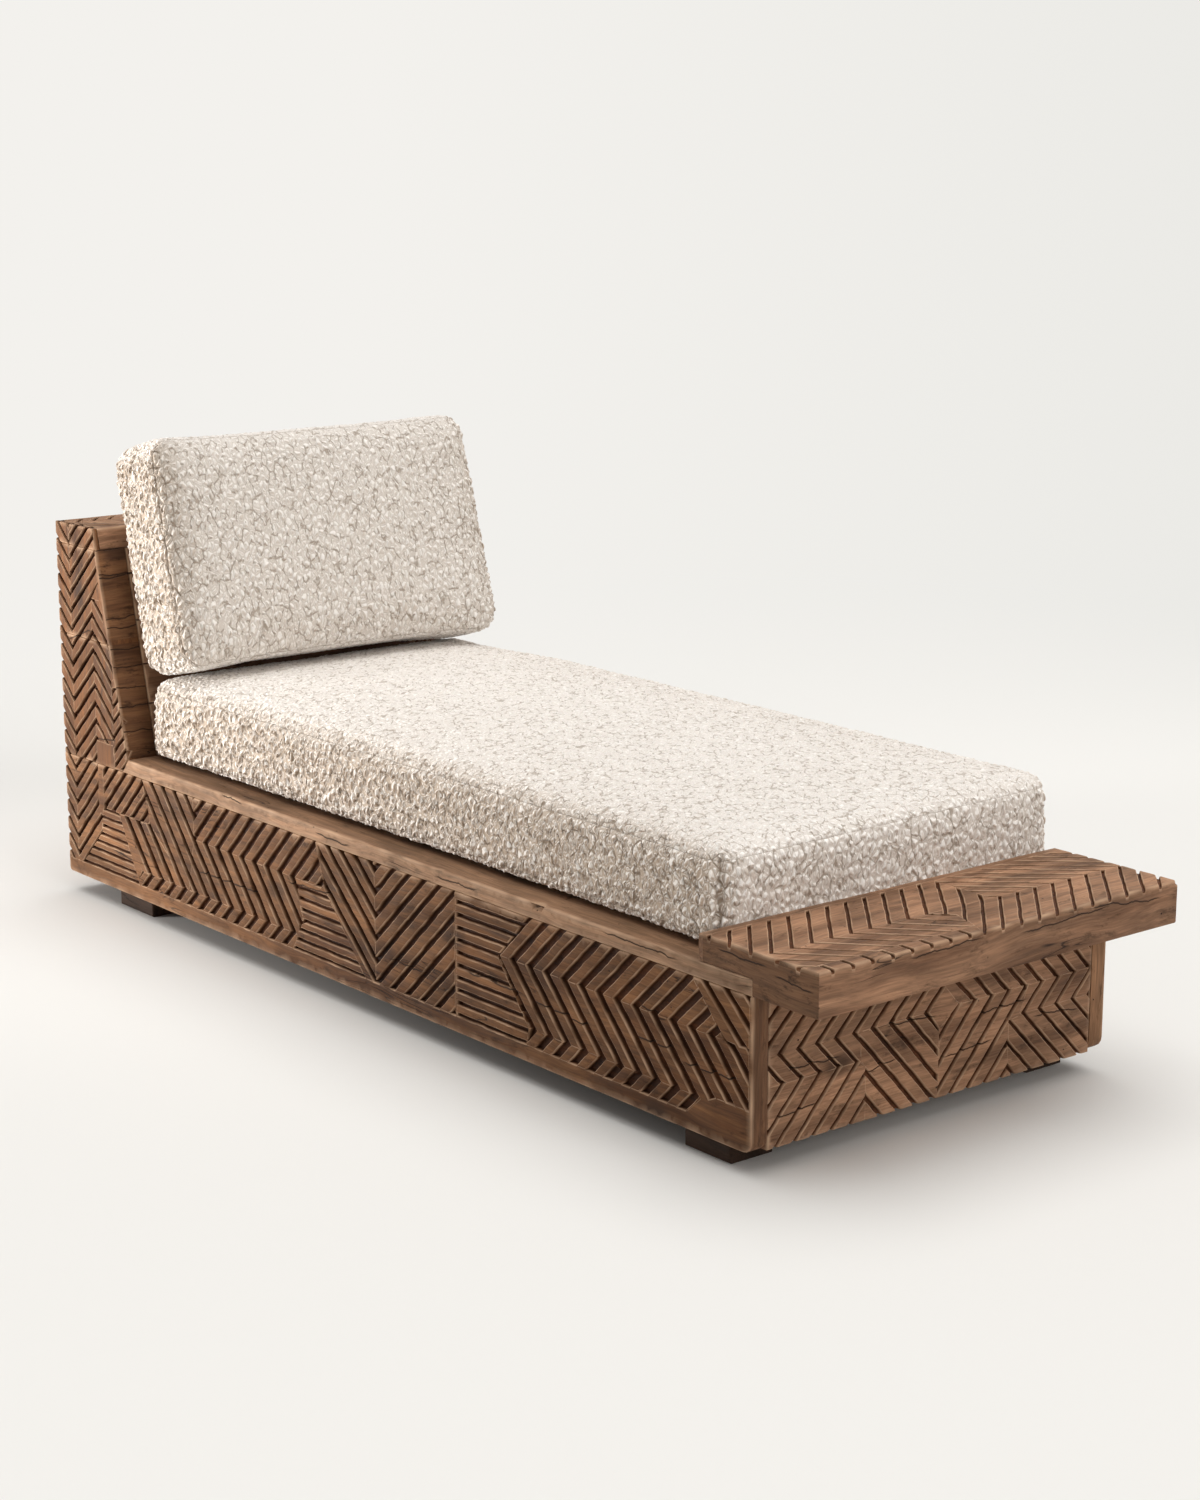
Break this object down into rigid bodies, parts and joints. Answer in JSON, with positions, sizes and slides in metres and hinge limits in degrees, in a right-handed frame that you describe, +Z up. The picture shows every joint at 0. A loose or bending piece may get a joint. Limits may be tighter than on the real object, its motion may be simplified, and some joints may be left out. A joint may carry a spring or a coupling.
{
  "type": "daybed",
  "caption": "Low carved wooden daybed with a wedge headboard, a wide foot shelf and loose boucle seat and back cushions.",
  "frame": {"origin": "on the floor under the middle of the whole piece", "axes": "+X towards the foot shelf, -Y the near long side, +Z up"},
  "size_m": [2.2572, 0.8, 0.9522],
  "materials": {
    "carved_wood": "weathered, waxed",
    "foot_wood": "dark stained",
    "inner_wood": "sawn",
    "peg_wood": "cut",
    "nail_iron": "black, cut",
    "boucle_cloth": "looped boucle"
  },
  "bodies": {
    "base": {"back_board_nails": "nail_iron", "batten_nails": "nail_iron", "bearer_1": "inner_wood", "bearer_2": "inner_wood", "bearer_3": "inner_wood", "bearer_4": "inner_wood", "bearer_5": "inner_wood", "bearer_6": "inner_wood", "cheek_pegs": "peg_wood", "deck_nails": "nail_iron", "deck_plank_1": "inner_wood", "deck_plank_2": "inner_wood", "deck_plank_3": "inner_wood", "deck_plank_4": "inner_wood", "end_board_pegs": "peg_wood", "far_cheek_lower": "carved_wood", "far_cheek_upper": "carved_wood", "far_head_batten": "inner_wood", "far_head_foot": "foot_wood", "far_head_post": "inner_wood", "far_ledger": "inner_wood", "far_side_board": "carved_wood", "far_tail_foot": "foot_wood", "far_top_rail": "carved_wood", "foot_board": "carved_wood", "foot_pegs": "peg_wood", "foot_shelf": "carved_wood", "foot_top_rail": "carved_wood", "head_back_board_1": "carved_wood", "head_back_board_2": "carved_wood", "head_back_board_3": "carved_wood", "head_base_board": "carved_wood", "head_bottom_beam": "inner_wood", "head_cap": "carved_wood", "head_front_board_1": "carved_wood", "head_front_board_2": "carved_wood", "head_front_board_3": "carved_wood", "head_front_board_4": "carved_wood", "head_front_board_5": "carved_wood", "head_front_board_6": "carved_wood", "ledger_nails": "nail_iron", "near_cheek_lower": "carved_wood", "near_cheek_upper": "carved_wood", "near_head_batten": "inner_wood", "near_head_foot": "foot_wood", "near_head_post": "inner_wood", "near_ledger": "inner_wood", "near_side_board": "carved_wood", "near_tail_foot": "foot_wood", "near_top_rail": "carved_wood", "rail_pegs": "peg_wood", "shelf_pegs": "peg_wood", "tail_bottom_beam": "inner_wood"},
    "seat": {"seat_cushion": "boucle_cloth"},
    "back": {"back_cushion": "boucle_cloth"}
  },
  "joints": [
    {"name": "seat_cushion_lift", "type": "slide", "parent": "base", "child": "seat", "axis": [0, 0, 1], "range_m": [0, 0.25]},
    {"name": "back_cushion_lift", "type": "slide", "parent": "seat", "child": "back", "axis": [0, 0, 1], "range_m": [0, 0.35]}
  ]
}
